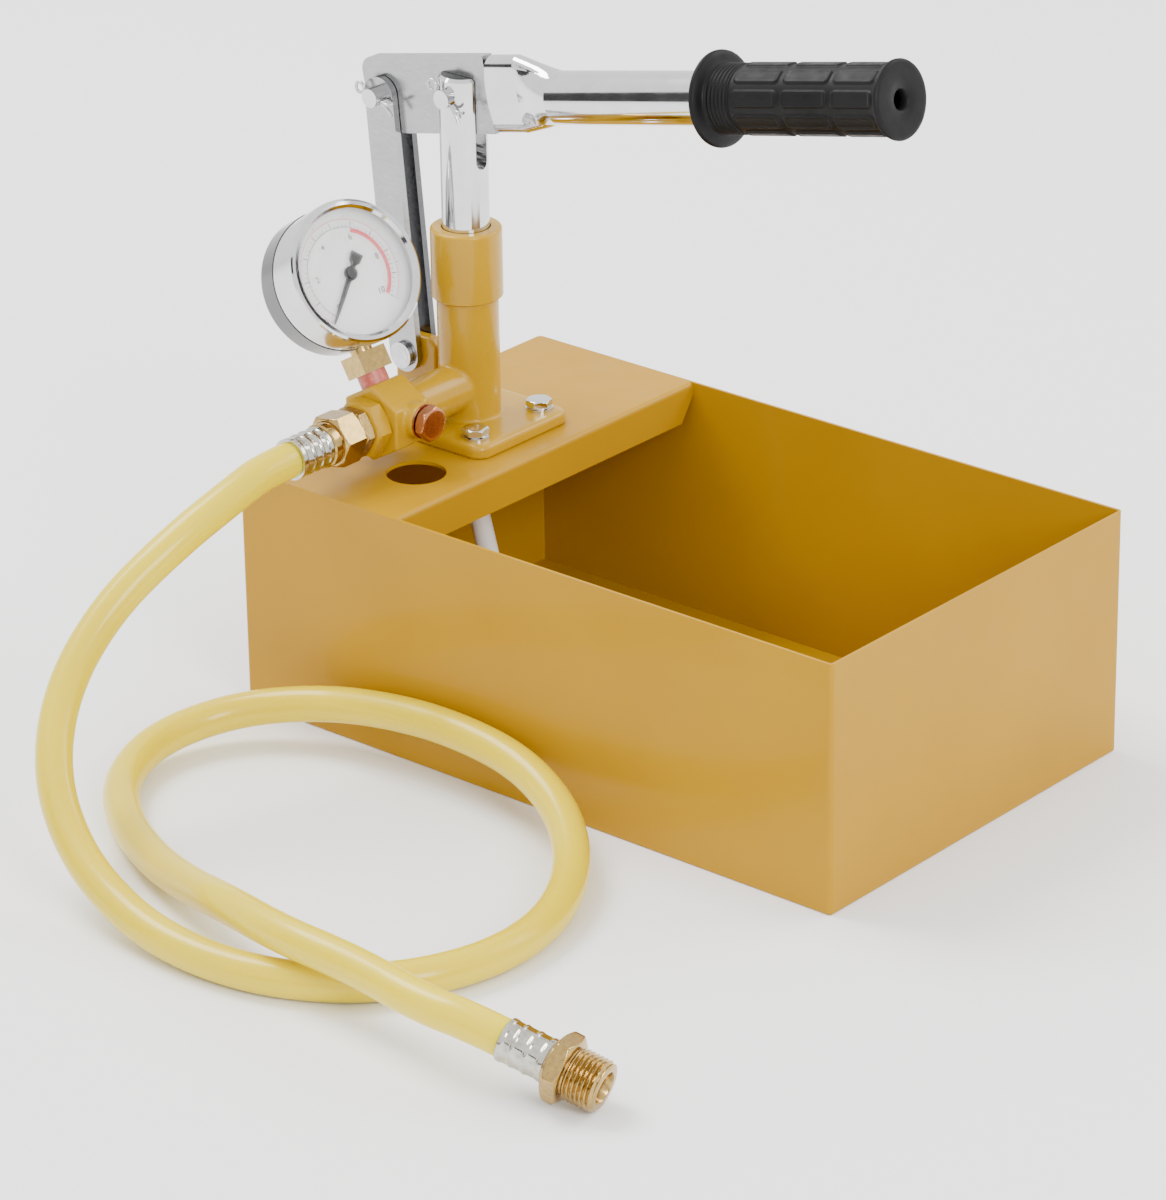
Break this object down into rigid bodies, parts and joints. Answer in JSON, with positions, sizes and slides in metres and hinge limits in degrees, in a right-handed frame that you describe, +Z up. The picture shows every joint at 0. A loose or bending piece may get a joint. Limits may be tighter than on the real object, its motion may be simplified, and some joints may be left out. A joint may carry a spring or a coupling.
{
  "type": "hydraulic hand test pump",
  "caption": "Lever-operated pressure-test pump on an open rectangular water tank, with dial gauge, ball valves, plunger and a coiled delivery hose.",
  "frame": {"origin": "middle of the tank's underside, on the floor", "axes": "+Z up; +X along the tank from the pump end towards the open end, the way the handle points; -Y the side the hose leaves"},
  "size_m": [0.3534, 0.3852, 0.3129],
  "materials": {
    "tank_paint": "glossy",
    "pump_paint": "glossy",
    "zinc_steel": "satin",
    "chrome": "polished",
    "steel": "satin",
    "brass": "satin",
    "copper": "satin",
    "crimp_steel": "satin",
    "hose_yellow": "glossy",
    "grip_rubber": "satin",
    "black_case": "glossy",
    "glass": "clear",
    "dial_white": "matte",
    "pointer_black": "matte",
    "tape_red": "satin",
    "pipe_white": "satin",
    "packing": "matte"
  },
  "bodies": {
    "root": {"tank_body": "tank_paint", "deck_plate": "tank_paint", "pump_body": "pump_paint", "gland_collar": "pump_paint", "packing_ring_lower": "packing", "packing_ring_upper": "packing", "foot_bolts": "chrome", "foot_washers": "chrome", "foot_nuts": "steel", "bottom_link_pin": "steel", "suction_fitting": "brass", "suction_pipe": "pipe_white", "suction_strainer": "pipe_white", "suction_seat": "brass", "discharge_seat": "brass", "discharge_spring": "steel", "outlet_adapter": "pump_paint", "hose_nipple": "brass", "near_ferrule": "crimp_steel", "plug_washer": "copper", "gauge_stem": "brass", "gauge_thread_tape": "tape_red", "gauge_rear_case": "black_case", "gauge_case": "chrome", "gauge_bezel": "chrome", "gauge_window": "glass", "gauge_dial": "dial_white", "gauge_movement": "brass", "bourdon_tube": "brass", "hose": "hose_yellow", "far_ferrule": "crimp_steel", "hose_end_fitting": "brass"},
    "link": {"front_link": "zinc_steel", "rear_link": "zinc_steel", "top_link_pin": "chrome", "top_pin_cotter": "steel"},
    "lever": {"lever_plate": "zinc_steel", "handle_tube": "chrome", "handle_grip": "grip_rubber"},
    "plunger": {"plunger_rod": "chrome", "rod_pin": "chrome", "rod_pin_cotter": "steel"},
    "pointer": {"gauge_pointer": "pointer_black"},
    "suction_valve": {"suction_ball": "chrome"},
    "discharge_valve": {"discharge_ball": "chrome"},
    "swivel_nut": {"swivel_nut": "brass"},
    "plug": {"copper_plug": "copper"}
  },
  "joints": [
    {"name": "link_swing", "type": "hinge", "parent": "root", "child": "link", "pos_m": [-0.1425, 0, 0.1328], "axis": [0, 1, 0], "range_deg": [-1.3, 0.8]},
    {"name": "lever_swing", "type": "hinge", "parent": "link", "child": "lever", "pos_m": [-0.15252, 0, 0.24496], "axis": [0, -1, 0], "range_deg": [-30, 18]},
    {"name": "plunger_stroke", "type": "slide", "parent": "root", "child": "plunger", "axis": [0, 0, 1], "range_m": [-0.0235, 0.0142]},
    {"name": "pointer_sweep", "type": "hinge", "parent": "root", "child": "pointer", "pos_m": [-0.1412, -0.0498, 0.17829], "axis": [-0.8511, 0.185, -0.4914], "range_deg": [0, 270], "stiffness_Nm_per_rad": 0.001, "springref_deg": -5.73},
    {"name": "suction_ball_lift", "type": "slide", "parent": "root", "child": "suction_valve", "axis": [0, 0, 1], "range_m": [0, 0.002]},
    {"name": "discharge_ball_lift", "type": "slide", "parent": "root", "child": "discharge_valve", "axis": [0, -1, 0], "range_m": [0, 0.0015], "stiffness_N_per_m": 150, "springref_m": -0.001},
    {"name": "swivel_turn", "type": "hinge", "parent": "root", "child": "swivel_nut", "pos_m": [-0.1113, -0.083, 0.1265], "axis": [0, -1, 0], "continuous": true},
    {"name": "plug_turn", "type": "hinge", "parent": "root", "child": "plug", "pos_m": [-0.095, -0.0497, 0.129], "axis": [1, 0, 0], "continuous": true}
  ],
  "couplings": [
    {"joint": "link_swing", "follows": "lever_swing", "ratio": 0.04},
    {"joint": "plunger_stroke", "follows": "lever_swing", "m_per_rad": 0.044118}
  ]
}
